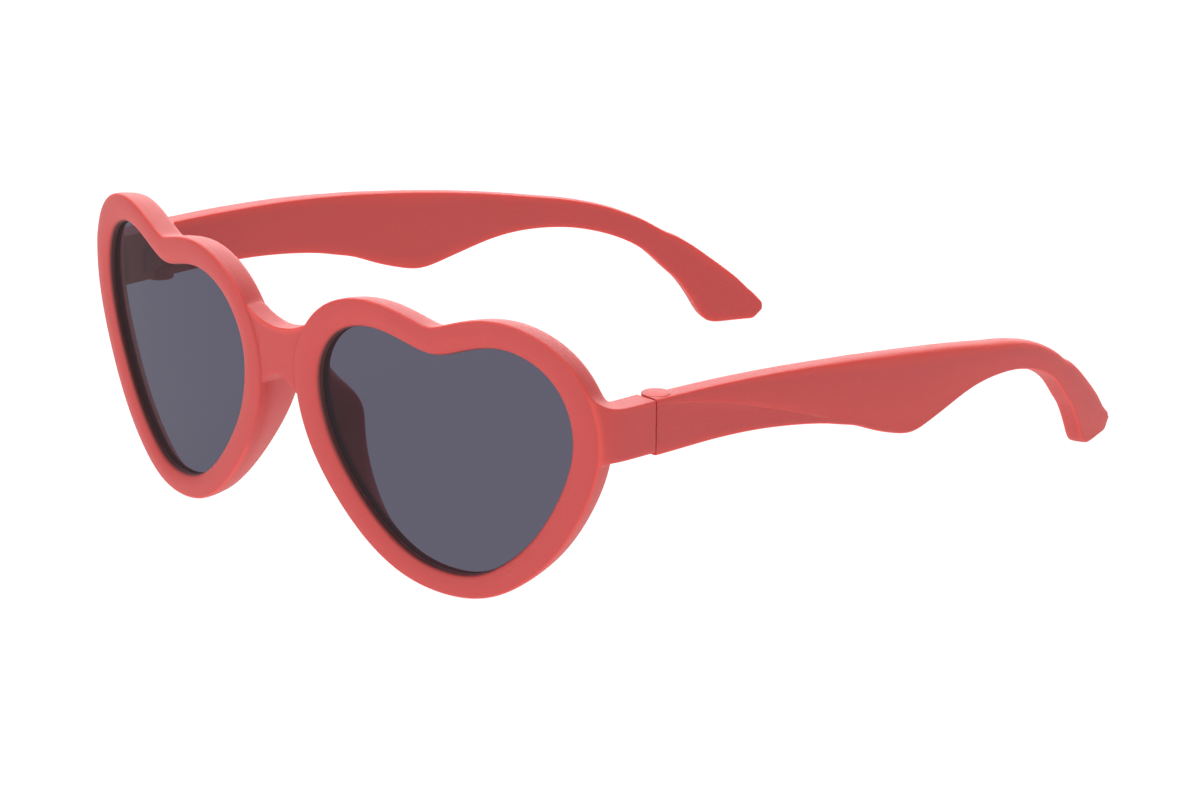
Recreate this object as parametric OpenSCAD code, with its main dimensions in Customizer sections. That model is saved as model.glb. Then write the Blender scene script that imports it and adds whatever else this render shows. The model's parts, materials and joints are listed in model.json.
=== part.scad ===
// Child's heart shaped sunglasses: one moulded front with nose pads, two lenses,
// and two temples that fold inward on vertical steel pins.
// Frame: +X is the wearer's left, +Y runs back along the temples, +Z is up.
// The glasses stand on z = 0, on the two rims and the two temple tips.
// The origin is at z = 0, midway across and midway front to back.

/* [Lens opening] */
// Width of one heart shaped lens opening
opening_w = 46.2; // [42:0.1:52]
// Height of one lens opening
opening_h = 38.3; // [34:0.1:44]
// Gap between the two rims where the bridge joins them
rim_gap = 8.3; // [6:0.1:14]

/* [Rim] */
// Face width of the rim at its two sides
rim_side_w = 4.9; // [3.5:0.1:6.5]
// Face width of the rim over the lobes
rim_top_w = 4.7; // [3.5:0.1:6.5]
// Face width of the rim at its foot
rim_foot_w = 3.8; // [3:0.1:6]
// Thickness of the rim, front to back
rim_depth = 4.7; // [4:0.1:5.5]
// Swell of the rim's front face
rim_crown = 0.2; // [0:0.05:0.4]
// Rounding of the edge round the lens
lens_edge_r = 0.75; // [0.4:0.05:1]
// Rounding of the outer front edge
front_edge_r = 0.55; // [0.3:0.05:1]
// Rounding of the back edges
back_edge_r = 1; // [0.4:0.05:1.2]
// How much the outer wall draws in towards the back
wall_draft = 0.6; // [0.2:0.05:0.8]

/* [Front shape] */
// How far the front wraps back at the rims' outer edges
wrap_depth = 12.9; // [6:0.1:18]
// Forward lean of the front, in degrees
front_lean = 4.5; // [0:0.1:9]

/* [Lens] */
// Thickness of the lens
lens_t = 1.8; // [1.2:0.1:2.2]
// Depth of the lens face below the rim's front face
lens_set = 0.8; // [0.7:0.05:1.1]
// Depth of the groove that holds the lens edge
groove_depth = 1.1; // [0.7:0.1:1.6]
// Gap between the lens and its groove
lens_gap = 0.05; // [0.02:0.01:0.1]

/* [Bridge] */
// Height of the bridge's top edge at the middle
bridge_top = 36.9; // [35:0.1:40]
// Height of the bridge's arch at the middle
bridge_arch = 29.2; // [27:0.1:32]
// Rise of the bridge's top edge where it meets the rims
bridge_rise = 2.3; // [1:0.1:3]
// Fall of the arch at the rims
arch_fall = 3.4; // [2:0.1:4]
// Thickness of the bridge, front to back
bridge_depth = 4.5; // [3.5:0.1:4.5]
// How far the bridge's face lies behind the rims' faces
bridge_recess = 0.12; // [0:0.01:0.4]

/* [Nose pads] */
// Reach of a pad behind the rim's front face
pad_reach = 10.8; // [7:0.1:12]
// How far a pad spreads from the nose towards its rear edge
pad_flare = 2.6; // [1:0.1:3]
// Thickness of a pad at its rear edge
pad_t = 1.8; // [1.2:0.1:2.2]
// Height at which a pad reaches furthest back
pad_peak = 25; // [22:0.5:27]
// Height above which there is no pad
pad_top = 31.5; // [30:0.5:33]
// Height of the pad's lower end
pad_foot = 6; // [5:0.5:9]

/* [End pieces] */
// How far the seam lies behind the front's outer edge
end_reach = 9.5; // [8.6:0.1:13]
// Height of an end piece
end_h = 7.4; // [6.8:0.1:8.5]
// Thickness of an end piece
end_t = 4.5; // [4:0.1:4.9]
// Radius of the corner from the front to the side, on its middle line
corner_r = 3; // [2.6:0.1:3.6]
// Swelling of the end piece where it leaves the rim
end_fillet = 2; // [0:0.1:2.5]

/* [Hinges] */
// Depth of a hinge axis inside the temple's outer face
hinge_inset = 2.7; // [2.3:0.05:3]
// Radius of the knuckle
knuckle_r = 2.2; // [2:0.05:2.6]
// Radius of the lug inside the knuckle
lug_r = 1.9; // [1.6:0.05:2]
// Height of the lug
lug_h = 3.7; // [3:0.1:4.4]
// Gap above, below and round the lug
lug_gap = 0.1; // [0.05:0.01:0.2]
// Gap between an end piece and its temple
seam_gap = 0.15; // [0.1:0.01:0.3]
// Radius of the hinge pin
pin_r = 0.8; // [0.6:0.05:1]
// Running clearance of the pin in the lug
pin_clearance = 0.05; // [0.02:0.01:0.1]
// Clearance of the pin in the temple's ears
pin_seat_gap = 0.01; // [0.005:0.005:0.02]
// Depth of the pin's lower end inside the knuckle
pin_recess = 0.3; // [0.1:0.1:0.6]
// Thickness of the closed end above the pin
pin_cap = 1.3; // [0.8:0.1:1.6]

/* [Temples] */
// Reach of a temple behind its seam
temple_len = 119; // [105:0.5:135]
// Height of a temple's top edge above the table, at the seam
temple_top = 34.3; // [33:0.1:37]
// Height of a temple from edge to edge, at the seam
temple_h = 8; // [7.6:0.1:9]
// Thickness of a temple at the hinge
temple_t = 3.4; // [3:0.1:4]
// Thickness of a temple at its tip
tip_t = 3; // [2.4:0.1:3.6]
// How far a temple's outer face lies outside the front's outer edge
temple_out = 1.7; // [1.4:0.1:3]
// Distance behind the seam where a temple starts to bend inward
bow_start = 26; // [20:0.5:40]
// Radius of a temple's inward bend
bow_r = 228; // [180:1:280]
// Rounding of a temple's long edges
temple_edge_r = 0.8; // [0.4:0.05:1.2]
// Step of the flat panel below the ridge on a temple's outer face
panel_step = 0.3; // [0:0.05:0.5]

/* [Hidden] */

overrun = 1; // how far a cut runs past the face that it opens
round_share = 0.29; // a rounded corner's middle point, as a share of its radius

// The opening's outline, clockwise from its foot, as shares of its width and height
heart_shares = [
    [0.51, 0], [0.37, 0.034], [0.235, 0.14], [0.118, 0.295], [0.033, 0.47],
    [0, 0.66], [0.028, 0.812], [0.115, 0.93], [0.25, 0.976], [0.385, 0.948],
    [0.5, 0.92], [0.62, 0.961], [0.76, 1], [0.895, 0.95], [0.978, 0.825],
    [1, 0.655], [0.958, 0.465], [0.86, 0.255], [0.745, 0.108], [0.63, 0.022]];
wrap_power = 1.77; // how the wrap gathers towards the sides
wall_turn_share = 0.5; // how much of the wrap's turn the walls follow on their way back
steps = 4; // outline points between one share and the next

opening_x = rim_gap / 2 + rim_side_w; // nasal side of the opening
mid_z = rim_foot_w + opening_h / 2; // height of the opening's middle
half_w = opening_x + opening_w + rim_side_w; // half the width over the rims
knots = [for (p = heart_shares) [opening_x + p[0] * opening_w, rim_foot_w + p[1] * opening_h]];

// Control points of a closed smooth curve through the knots, by repeated correction
function at(list, i) = list[(i + len(list)) % len(list)];
function corrected(c, p) = [for (i = [0:len(p) - 1])
    c[i] + p[i] - (at(c, i - 1) + 4 * c[i] + at(c, i + 1)) / 6];
function controls(c, p, passes) = passes == 0 ? c : controls(corrected(c, p), p, passes - 1);
heart = controls(knots, knots, 12);

// Point and direction on the closed curve, a share t of the way from knot i to the next
function curve_point(c, i, t) =
    (pow(1 - t, 3) * at(c, i - 1) + (3 * t * t * t - 6 * t * t + 4) * at(c, i)
    + (3 * t + 3 * t * t - 3 * t * t * t + 1) * at(c, i + 1) + t * t * t * at(c, i + 2)) / 6;
function curve_way(c, i, t) =
    (-pow(1 - t, 2) * at(c, i - 1) + (3 * t * t - 4 * t) * at(c, i)
    + (2 * t - 3 * t * t + 1) * at(c, i + 1) + t * t * at(c, i + 2)) / 2;

outline = [for (i = [0:len(heart) - 1]) for (k = [0:steps - 1]) curve_point(heart, i, k / steps)];
outward = [for (i = [0:len(heart) - 1]) for (k = [0:steps - 1])
    let (w = curve_way(heart, i, k / steps)) [-w[1], w[0]] / norm(w)];

// The front surface: its place and turn at a distance x from the middle
function wrap_y(x) = wrap_depth * pow(abs(x) / half_w, wrap_power);
function wrap_turn(x) =
    sign(x) * atan(wrap_power * wrap_depth / half_w * pow(abs(x) / half_w, wrap_power - 1));
function wall_turn(x) = wrap_turn(x) * wall_turn_share;
function on_front(x, z, d) = [
    x - d * sin(wall_turn(x)),
    wrap_y(x) - tan(front_lean) * (z - mid_z) + d * cos(wall_turn(x)),
    z];

// Width of the rim's face where the outline faces the way n
function rim_w(n) = rim_side_w * n[0] * n[0] + (n[1] > 0 ? rim_top_w : rim_foot_w) * n[1] * n[1];

// Share of the full nose pad at an outline point, none on the temple side
pad_power = 1.25; // how the pad gathers towards its peak
function eased(t) = t * t * (3 - 2 * t);
function held(t) = min(1, max(0, t));
function pad_share(p) = p[0] > opening_x + opening_w / 2 ? 0
    : p[1] > pad_peak ? 1 - eased(held((p[1] - pad_peak) / (pad_top - pad_peak)))
    : pow(held((p[1] - pad_foot) / (pad_peak - pad_foot)), pad_power);

groove_front = lens_set - lens_gap;
groove_back = lens_set + lens_t + lens_gap;

// Section of the rim, as [distance out from the opening, depth behind the front]
function rim_front(w) = [
    [0, lens_edge_r - lens_gap],
    [lens_edge_r, lens_edge_r] * round_share,
    [lens_edge_r, 0],
    [w / 2, -rim_crown],
    [w - front_edge_r, 0],
    [w - front_edge_r * round_share, front_edge_r * round_share],
    [w, front_edge_r]];
function rim_back(w) = [
    [w - wall_draft / 2, rim_depth / 2],
    [w - wall_draft, rim_depth - back_edge_r],
    [w - wall_draft - back_edge_r * round_share, rim_depth - back_edge_r * round_share],
    [w - wall_draft - back_edge_r, rim_depth],
    [back_edge_r, rim_depth],
    [back_edge_r * round_share, rim_depth - back_edge_r * round_share],
    [0, rim_depth - back_edge_r]];
function pad_back(w) = [
    [w - pad_flare / 2, pad_reach / 2],
    [w - pad_flare, pad_reach - pad_t / 2],
    [w - pad_flare - pad_t * round_share / 2, pad_reach - pad_t * round_share / 2],
    [w - pad_flare - pad_t / 2, pad_reach],
    [w - pad_flare - pad_t * (1 - round_share / 2), pad_reach - pad_t * round_share / 2],
    [w - pad_flare - pad_t, pad_reach - pad_t / 2],
    [(w - pad_flare - pad_t) / 2, pad_reach / 2]];
lens_groove = [
    [0, groove_back],
    [groove_depth, groove_back],
    [groove_depth, groove_front],
    [0, groove_front]];
function rim_section(w, share) = concat(
    rim_front(w), rim_back(w) * (1 - share) + pad_back(w) * share, lens_groove);

rim_sections = [for (i = [0:len(outline) - 1])
    let (n = outward[i], w = rim_w(n))
    [for (q = rim_section(w, pad_share(outline[i])))
        let (p = outline[i] + q[0] * n) on_front(p[0], p[1], q[1])]];

// The hinge, and the temple's place behind the front
temple_x = half_w + temple_out; // outer face of a temple at the hinge
seam_y = wrap_depth + end_reach; // front face of a temple
hinge_x = temple_x - hinge_inset;
hinge_y = seam_y + knuckle_r;
temple_foot = temple_top - temple_h; // bottom edge of a temple at the seam
hinge_mid_z = temple_foot + temple_h / 2;
lug_z = hinge_mid_z - lug_h / 2;

// Heights of a temple's top and bottom edges: [share of its length, share of the seam's height]
top_shares = [
    [0, 1], [0.14, 0.992], [0.28, 0.966], [0.45, 0.9], [0.62, 0.8],
    [0.77, 0.668], [0.88, 0.46], [0.94, 0.295], [0.975, 0.18], [1, 0.08]];
foot_shares = [
    [0, 1], [0.12, 0.993], [0.2, 0.968], [0.29, 0.905], [0.36, 0.818], [0.42, 0.714],
    [0.475, 0.658], [0.53, 0.707], [0.6, 0.776], [0.66, 0.789], [0.73, 0.745], [0.8, 0.624],
    [0.85, 0.452], [0.89, 0.232], [0.914, 0.045], [0.935, 0], [0.985, 0], [1, 0.06]];
// The ridge on the outer face, from near the top edge down to the bottom edge
ridge_shares = [[0, 0.1], [0.14, 0.55], [0.25, 0.8], [0.33, 1], [1, 1]];
// Where the temple's sections are: even steps to each of these shares, closer at the hook
stretch_shares = [0, 0.66, 0.86, 0.98, 1];
stretch_steps = [17, 9, 12, 3];
temple_shares = concat([0], [for (k = [0:len(stretch_steps) - 1]) for (i = [1:stretch_steps[k]])
    stretch_shares[k] + (stretch_shares[k + 1] - stretch_shares[k]) * i / stretch_steps[k]]);

// Smooth curve through a list of [place, value] rows
function slope(t, i) = (t[min(i + 1, len(t) - 1)][1] - t[max(i - 1, 0)][1])
    / (t[min(i + 1, len(t) - 1)][0] - t[max(i - 1, 0)][0]);
function row(t, s, i = 0) = i >= len(t) - 2 || s < t[i + 1][0] ? i : row(t, s, i + 1);
function table(t, s) =
    let (i = row(t, s), run = t[i + 1][0] - t[i][0], u = (s - t[i][0]) / run)
    t[i][1] * (2 * u * u * u - 3 * u * u + 1) + slope(t, i) * run * (u * u * u - 2 * u * u + u)
    + t[i + 1][1] * (3 * u * u - 2 * u * u * u) + slope(t, i + 1) * run * (u * u * u - u * u);

// Turn of the temple's bow at a distance y behind the seam, and its middle line
function bow_turn(y) = asin(max(0, y - bow_start) / bow_r);
function temple_w(s) = temple_t + (tip_t - temple_t) * s;
function temple_mid(s) = [
    temple_x - temple_w(s) / 2 - bow_r * (1 - cos(bow_turn(s * temple_len))),
    seam_y + s * temple_len];

// Section of a temple: [out from its middle line, up]
edge_share = 0.25; // the most of a section's height or thickness that one rounded edge takes
ridge_room_share = 3.5; // height kept for the edges and the ridge's step, in rounding radii
function temple_section(s) =
    let (h1 = table(top_shares, s) * temple_top, h0 = max(0, table(foot_shares, s)) * temple_foot,
        t = temple_w(s) / 2, r = min(temple_edge_r, (h1 - h0) * edge_share, 2 * t * edge_share),
        q = round_share * r, low = held(table(ridge_shares, s)), step = panel_step * (1 - low),
        ridge = h1 - r - (h1 - h0 - ridge_room_share * r) * low)
    [[t - r, h1], [t - q, h1 - q], [t, h1 - r], [t, ridge], [t - step, ridge - r],
        [t - step, h0 + r], [t - step - q, h0 + q], [t - step - r, h0],
        [r - t, h0], [q - t, h0 + q], [-t, h0 + r],
        [-t, h1 - r], [q - t, h1 - q], [r - t, h1]];
temple_sections = [for (s = temple_shares)
    let (m = temple_mid(s), a = bow_turn(s * temple_len))
    [for (q = temple_section(s)) [m[0] + q[0] * cos(a), m[1] + q[0] * sin(a), q[1]]]];

// Middle of the whole object, front to back
front_min = min([for (s = rim_sections) for (p = s) p[1]]);
back_max = max([for (s = temple_sections) for (p = s) p[1]]);
mid_y = (front_min + back_max) / 2;

// The bridge: its top edge and arch at a distance x from the middle
bridge_root_share = 0.7; // how far into a rim's face the bridge runs
bridge_half = rim_gap / 2 + rim_side_w * bridge_root_share;
function bridge_z1(x) = bridge_top + bridge_rise * pow(x / bridge_half, 2);
function bridge_z0(x) = bridge_arch - arch_fall * pow(min(1, abs(x) / (rim_gap / 2)), 2);
function bridge_section(x) =
    let (z0 = bridge_z0(x), z1 = bridge_z1(x), e = front_edge_r, b = back_edge_r,
        q = e * round_share, k = b * round_share, d = bridge_depth + bridge_recess)
    [for (p = [[z0 + e, 0], [z1 - e, 0], [z1 - q, q], [z1, e], [z1, d - b], [z1 - k, d - k],
        [z1 - b, d], [z0 + b, d], [z0 + k, d - k], [z0, d - b], [z0, e], [z0 + q, q]])
        on_front(x, p[0], max(p[1], bridge_recess))];

// The end piece's middle line: out along the front, round the corner and back to the seam
end_root_share = 0.35; // where in the rim's face the end piece starts
swell_share = 0.6; // how much of the swelling is left halfway to the corner
corner_swell_share = 0.3; // how much is left at the corner
end_start = opening_x + opening_w + rim_side_w * end_root_share;
end_x = temple_x - end_t / 2;
end_turn = wrap_turn(end_start);
end_root = on_front(end_start, hinge_mid_z, rim_depth / 2);
end_run = (end_x - end_root[0] - corner_r * (1 - sin(end_turn))) / cos(end_turn);
corner_0 = [end_root[0], end_root[1]] + end_run * [cos(end_turn), sin(end_turn)];
corner_centre = corner_0 + corner_r * [-sin(end_turn), cos(end_turn)];
corner_steps = 6;
end_face = seam_y - seam_gap;
// Each row: place, heading, swelling share
end_path = concat(
    [[[end_root[0], end_root[1]], end_turn, 1],
        [([end_root[0], end_root[1]] + corner_0) / 2, end_turn, swell_share]],
    [for (i = [0:corner_steps])
        let (a = end_turn + (90 - end_turn) * i / corner_steps)
        [corner_centre + corner_r * [sin(a), -cos(a)], a,
            corner_swell_share * pow(1 - i / corner_steps, 2)]],
    [[[end_x, end_face], 90, 0]]);
end_sections = [for (row = end_path)
    let (a = row[1], t = (end_t + (rim_depth - end_t) * row[2]) / 2,
        h = end_h / 2 + end_fillet * row[2], e = front_edge_r, q = e * round_share)
    [for (p = [[t - e, h], [t - q, h - q], [t, h - e], [t, e - h], [t - q, q - h], [t - e, -h],
        [e - t, -h], [q - t, q - h], [-t, e - h], [-t, h - e], [q - t, h - q], [e - t, h]])
        [row[0][0] + p[0] * sin(a), row[0][1] - p[0] * cos(a), hinge_mid_z + p[1]]]];

// The lens: rings of the outline, drawn towards a middle point
ring_shares = [1, 0.82, 0.6, 0.36, 0.14];
lens_mid_share = 0.55; // height of that point in the opening
lens_mid = [opening_x + opening_w / 2, rim_foot_w + opening_h * lens_mid_share];
function lens_ring(share, d) = [for (i = [0:len(outline) - 1])
    let (p = lens_mid + share * (outline[i] + (groove_depth - lens_gap) * outward[i] - lens_mid))
    on_front(p[0], p[1], d)];
lens_sections = concat(
    [for (i = [len(ring_shares) - 1:-1:0]) lens_ring(ring_shares[i], lens_set)],
    [for (r = ring_shares) lens_ring(r, lens_set + lens_t)]);

// Faces between one section and the next, with m points in each
function band(a, b, m) = [for (j = [0:m - 1])
    let (k = (j + 1) % m) each [[a * m + j, b * m + k, a * m + k], [a * m + j, b * m + j, b * m + k]]];
function fan(a, m, tip, flip) = [for (j = [0:m - 1])
    let (k = (j + 1) % m) flip ? [a * m + k, tip, a * m + j] : [a * m + j, tip, a * m + k]];
function middle(s) = [for (i = [0:2]) [for (p = s) p[i]] * [for (p = s) 1] / len(s)];

// A solid through sections that close on themselves
module ring_loft(s) {
    n = len(s);
    m = len(s[0]);
    polyhedron([for (t = s) each t],
        [for (i = [0:n - 1]) each band((i + 1) % n, i, m)], convexity = 8);
}

// A solid through sections with a closed face at each end
module capped_loft(s) {
    n = len(s);
    m = len(s[0]);
    polyhedron(concat([for (t = s) each t], [middle(s[0]), middle(s[n - 1])]),
        concat([for (i = [0:n - 2]) each band(i, i + 1, m)],
            fan(0, m, n * m, true), fan(n - 1, m, n * m + 1, false)), convexity = 8);
}

module on_right() mirror([1, 0, 0]) children();

module at_hinge(z) translate([hinge_x, hinge_y, z]) children();

module rim() ring_loft(rim_sections);

module bridge() {
    stations = 6;
    capped_loft([for (i = [stations:-1:-stations]) bridge_section(bridge_half * i / stations)]);
}

module end_piece() capped_loft(end_sections);

// The lug that runs between the temple's ears, with its neck from the end piece
module lug() {
    at_hinge(lug_z) cylinder(r = lug_r, h = lug_h, $fn = 64);
    translate([hinge_x - lug_r, end_face - end_t / 2, lug_z])
        cube([2 * lug_r, hinge_y - end_face + end_t / 2, lug_h]);
}

module front_side() {
    rim();
    end_piece();
    lug();
}

module front_frame() color("#d35855") translate([0, -mid_y, 0]) difference() {
    union() {
        front_side();
        on_right() front_side();
        bridge();
    }
    for (side = [0, 1]) mirror([side, 0, 0])
        at_hinge(lug_z - overrun)
            cylinder(r = pin_r + pin_clearance, h = lug_h + 2 * overrun, $fn = 64);
}

module lens() color("#64626f", 0.6) translate([0, -mid_y, 0]) capped_loft(lens_sections);

module left_lens() lens();

module right_lens() on_right() lens();

// The temple's inner front corner gives way to the round knuckle, to turn clear of the end piece
module corner_relief() at_hinge(temple_foot - overrun)
    translate([-knuckle_r - overrun, -knuckle_r - overrun, 0])
        cube([knuckle_r + overrun, knuckle_r + overrun, temple_h + 2 * overrun]);

// Room for the lug between the ears, open to the front and the inner side
module lug_slot() {
    room = lug_r + lug_gap;
    reach = knuckle_r + overrun;
    at_hinge(lug_z - lug_gap) {
        cylinder(r = room, h = lug_h + 2 * lug_gap, $fn = 64);
        translate([-reach, -reach, 0]) cube([reach + room, reach, lug_h + 2 * lug_gap]);
        translate([-reach, -reach, 0]) cube([reach, reach + room, lug_h + 2 * lug_gap]);
    }
}

module temple() color("#c95351") translate([0, -mid_y, 0]) difference() {
    union() {
        difference() {
            capped_loft(temple_sections);
            corner_relief();
        }
        at_hinge(temple_foot) cylinder(r = knuckle_r, h = temple_h, $fn = 64);
    }
    lug_slot();
    at_hinge(temple_foot - overrun)
        cylinder(r = pin_r + pin_seat_gap, h = temple_h + overrun - pin_cap, $fn = 64);
}

module left_temple() temple();

module right_temple() on_right() temple();

module hinge_pin() color("silver") translate([0, -mid_y, 0])
    at_hinge(temple_foot + pin_recess)
        cylinder(r = pin_r, h = temple_h - pin_recess - pin_cap - lug_gap, $fn = 64);

module left_hinge_pin() hinge_pin();

module right_hinge_pin() on_right() hinge_pin();

front_frame();
left_lens();
right_lens();
left_temple();
right_temple();
left_hinge_pin();
right_hinge_pin();
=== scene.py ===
# Child's heart shaped sunglasses: moulded forms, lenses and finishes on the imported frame.
# Sizes in the dictionaries are millimetres and angles are degrees, with x = 0 in the middle,
# y back along the temples and z = 0 on the table. place() turns sizes into the frame's metres.
# A name that ends in Share or Shares holds shares of the size that it goes with.
import json
import math

import bpy
import bmesh
from mathutils import Matrix, Vector


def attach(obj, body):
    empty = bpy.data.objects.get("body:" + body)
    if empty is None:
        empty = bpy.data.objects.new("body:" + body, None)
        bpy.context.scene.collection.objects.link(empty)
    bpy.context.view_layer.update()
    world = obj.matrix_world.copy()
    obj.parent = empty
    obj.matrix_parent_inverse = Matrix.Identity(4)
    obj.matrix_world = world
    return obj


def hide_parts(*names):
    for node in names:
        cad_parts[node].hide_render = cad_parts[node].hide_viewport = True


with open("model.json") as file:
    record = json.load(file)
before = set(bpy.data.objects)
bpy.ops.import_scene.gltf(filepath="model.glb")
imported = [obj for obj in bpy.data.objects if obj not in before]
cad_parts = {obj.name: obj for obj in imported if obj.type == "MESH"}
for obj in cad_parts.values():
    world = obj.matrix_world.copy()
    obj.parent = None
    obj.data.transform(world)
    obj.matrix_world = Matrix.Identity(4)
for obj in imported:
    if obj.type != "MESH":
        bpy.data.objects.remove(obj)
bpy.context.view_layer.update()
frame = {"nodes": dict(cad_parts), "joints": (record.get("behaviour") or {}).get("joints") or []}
print("frame loaded:", sorted(frame["nodes"]))

mm = 0.001
scene = bpy.context.scene

# Driving sizes, which more than one piece follows
front = {
    "openingWide": 46.2, "openingHigh": 38.3, "rimGap": 8.3, "deep": 4.7,
    "sideWide": 4.9, "topWide": 4.7, "footWide": 3.8,
    "wrapDeep": 12.9, "wrapPower": 1.77, "wallTurnShare": 0.5, "lean": 4.5,
}
lens = {"set": 1.5, "thick": 1.1, "groove": 1.1, "gap": 0.05}
temple = {"long": 119, "top": 34.3, "high": 8.0, "thick": 3.4, "tipThick": 3.0, "out": 1.7}
hinge = {
    "reach": 9.5, "knuckle": 2.2, "knuckleRound": 0.1, "inset": 2.7, "seam": 0.2,
    "pin": 0.8, "pinSeat": 0.01, "play": 0.05, "cap": 1.3,
    "lug": 1.9, "lugHigh": 3.7, "gap": 0.1, "proudTop": 0.012, "proudFoot": 0.03,
    "neckSpare": 0.2, "neckShare": 0.999, "overrun": 1, "steps": 48,
    "mergeWithin": 0.002, "seamSpare": 0.02, "sharpTurn": 0.7,  # this turn is in radians
}

openingX = front["rimGap"] / 2 + front["sideWide"]  # nasal side of the opening
halfWide = openingX + front["openingWide"] + front["sideWide"]
middleZ = front["footWide"] + front["openingHigh"] / 2
seamY = front["wrapDeep"] + hinge["reach"]
endY = seamY - hinge["seam"]
templeX = halfWide + temple["out"]
templeFoot = temple["top"] - temple["high"]
hingeX, hingeY = templeX - hinge["inset"], seamY + hinge["knuckle"]
hingeZ = templeFoot + temple["high"] / 2
shiftY = frame["joints"][0]["pos_m"][1] / mm - hingeY  # from here to the frame's own hinge line


def place(x, y, z):
    return Vector((x * mm, (y + shiftY) * mm, z * mm))


def held(value):
    return min(1.0, max(0.0, value))


def eased(value):
    return value * value * (3 - 2 * value)


def between(a, b, share):
    return a + (b - a) * share


# Steps that several pieces share
def startRing(bm, count, key, settle):
    # closed ring of edges, whose vertices are numbered in the layer and put in place by settle
    verts = []
    for number in range(count):
        v = bm.verts.new()
        v[key] = number
        settle(v)
        verts.append(v)
    return [bm.edges.new((verts[i], verts[(i + 1) % count])) for i in range(count)]


def nextRing(bm, edges, settle):
    made = bmesh.ops.extrude_edge_only(bm, edges=edges)["geom"]
    fresh = {g for g in made if isinstance(g, bmesh.types.BMVert)}
    for v in fresh:
        settle(v)
    return [g for g in made if isinstance(g, bmesh.types.BMEdge) and fresh.issuperset(g.verts)]


def creaseEdges(bm, edges, amount=1.0):
    key = bm.edges.layers.float.get("crease_edge")
    for edge in edges:
        edge[key] = amount


def sortByPlace(bm):
    # the operators leave vertices, edges and faces in an order that changes from run to run
    rows = {v: k for k, v in enumerate(sorted(bm.verts, key=lambda v: v.co[:]))}
    bm.verts.sort(key=lambda v: rows[v])
    bm.verts.index_update()
    for elements in (bm.edges, bm.faces):
        rows = {g: k for k, g in enumerate(sorted(elements, key=lambda g: sorted(v.index for v in g.verts)))}
        elements.sort(key=lambda g: rows[g])


def addPiece(bm, name):
    sortByPlace(bm)
    mesh = bpy.data.meshes.new(name)
    bm.to_mesh(mesh)
    bm.free()
    piece = bpy.data.objects.new(name, mesh)
    scene.collection.objects.link(piece)
    return piece


def addSmoothing(piece):
    smooth = piece.modifiers.new("smoothForm", "SUBSURF")
    smooth.levels = smooth.render_levels = 2


def applyModifiers(piece):
    # the evaluated mesh takes the place of the mesh and its modifiers
    bpy.context.view_layer.update()
    done = bpy.data.meshes.new_from_object(piece.evaluated_get(bpy.context.evaluated_depsgraph_get()))
    piece.modifiers.clear()
    old = piece.data
    name = old.name
    piece.data = done
    bpy.data.meshes.remove(old)
    done.name = name


# The front's surface and the heart's outline
heart = {
    # clockwise from its foot, as shares of the opening's width and height
    "outlineShares": [
        (0.51, 0), (0.37, 0.034), (0.235, 0.14), (0.118, 0.295), (0.033, 0.47),
        (0, 0.66), (0.028, 0.812), (0.115, 0.93), (0.25, 0.976), (0.385, 0.948),
        (0.5, 0.92), (0.62, 0.961), (0.76, 1), (0.895, 0.95), (0.978, 0.825),
        (1, 0.655), (0.958, 0.465), (0.86, 0.255), (0.745, 0.108), (0.63, 0.022)],
    "stepsEach": 4, "passes": 12,
}


def wrapY(x):
    return front["wrapDeep"] * (abs(x) / halfWide) ** front["wrapPower"]


def wrapTurn(x):
    power, share = front["wrapPower"], abs(x) / halfWide
    return math.copysign(math.atan(power * front["wrapDeep"] / halfWide * share ** (power - 1)), x)


def onFront(x, z, deep):
    turn = wrapTurn(x) * front["wallTurnShare"]
    lean = math.tan(math.radians(front["lean"])) * (z - middleZ)
    return place(x - deep * math.sin(turn), wrapY(x) - lean + deep * math.cos(turn), z)


def closedCurve(knots, steps, passes):
    # points and outward directions on a smooth closed curve through the knots
    knots = [Vector(k) for k in knots]
    n = len(knots)
    ctrl = list(knots)
    for _ in range(passes):
        ctrl = [ctrl[i] + knots[i] - (ctrl[i - 1] + 4 * ctrl[i] + ctrl[(i + 1) % n]) / 6 for i in range(n)]
    points, outs = [], []
    for i in range(n):
        a, b, c, d = ctrl[i - 1], ctrl[i], ctrl[(i + 1) % n], ctrl[(i + 2) % n]
        for k in range(steps):
            t = k / steps
            s = 1 - t
            points.append((s ** 3 * a + (3 * t ** 3 - 6 * t * t + 4) * b
                           + (3 * t + 3 * t * t - 3 * t ** 3 + 1) * c + t ** 3 * d) / 6)
            way = (-s * s * a + (3 * t * t - 4 * t) * b + (2 * t - 3 * t * t + 1) * c + t * t * d) / 2
            outs.append(Vector((-way.y, way.x)).normalized())
    return points, outs


def rimWide(out):
    upDown = front["topWide"] if out.y > 0 else front["footWide"]
    return front["sideWide"] * out.x ** 2 + upDown * out.y ** 2


heartPoints, heartOuts = closedCurve(
    [(openingX + a * front["openingWide"], front["footWide"] + b * front["openingHigh"])
     for a, b in heart["outlineShares"]], heart["stepsEach"], heart["passes"])
rimPoints = [point + out * rimWide(out) for point, out in zip(heartPoints, heartOuts)]
stations = len(heartPoints)

# Nose pads: how far they grow from the rim at each height, and their own section
pads = {
    "reach": 10.8, "flare": 2.6, "thick": 1.8, "swell": 0.35,
    "foot": 6, "peak": 25, "top": 31.5, "power": 1.25, "soft": 2.4,
    # down the outer side: shares of the swell, of the flare and of the reach
    "sideShares": [(1, 0, 0.15), (0.8, 0, 0.24), (0, 0.62, 0.68)],
    # round the end: shares of the thickness, inwards and up from the end
    "endShares": [(0, 0.45), (0.25, 0.05), (0.75, 0.05), (1, 0.5)],
    "innerShare": 0.5,
}


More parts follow.
